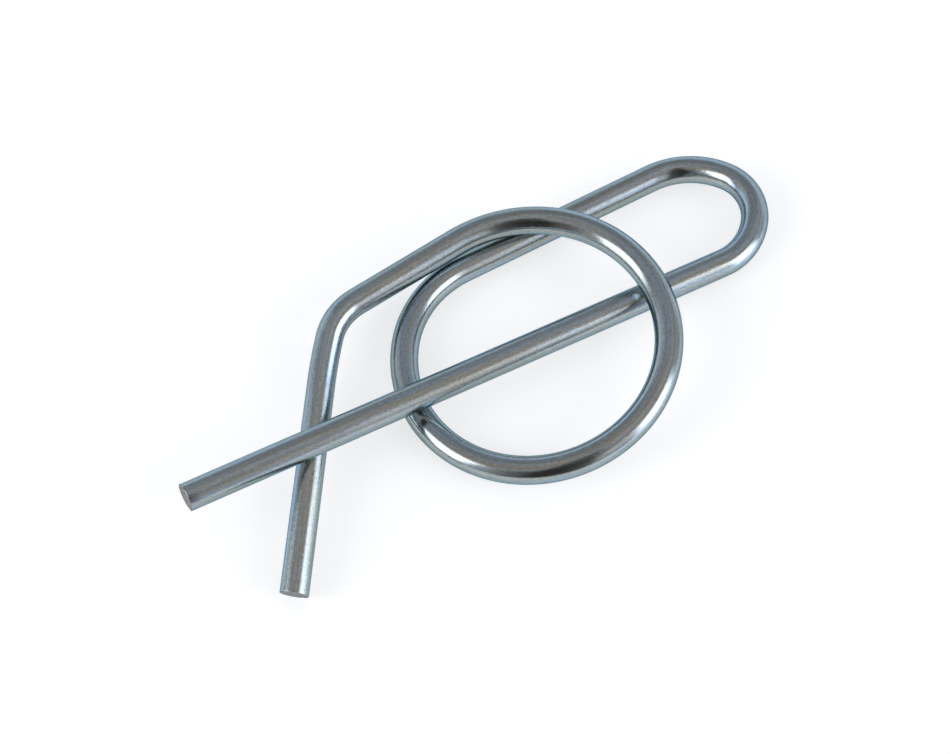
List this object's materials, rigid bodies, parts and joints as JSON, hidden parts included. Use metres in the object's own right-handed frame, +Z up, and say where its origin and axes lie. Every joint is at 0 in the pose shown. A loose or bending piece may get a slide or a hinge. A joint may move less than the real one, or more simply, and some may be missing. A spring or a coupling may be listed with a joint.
{
  "type": "lock pin",
  "caption": "Wire lock pin: a long pin arm springs over a leg and through a ring, with a round eye at the far end.",
  "frame": {"origin": "centre of the bounding box in plan, on the surface that the pin lies on", "axes": "+X from the free end of the pin arm towards the eye, +Y towards the straight that leads back to the ring, +Z up from the surface"},
  "size_m": [0.1182, 0.0532, 0.0139],
  "materials": {
    "zinc_plated_wire": "bright zinc plate with a clear bluish passivation, drawn lines along the wire"
  },
  "bodies": {
    "root": {"lock_pin": "zinc_plated_wire"}
  },
  "joints": []
}
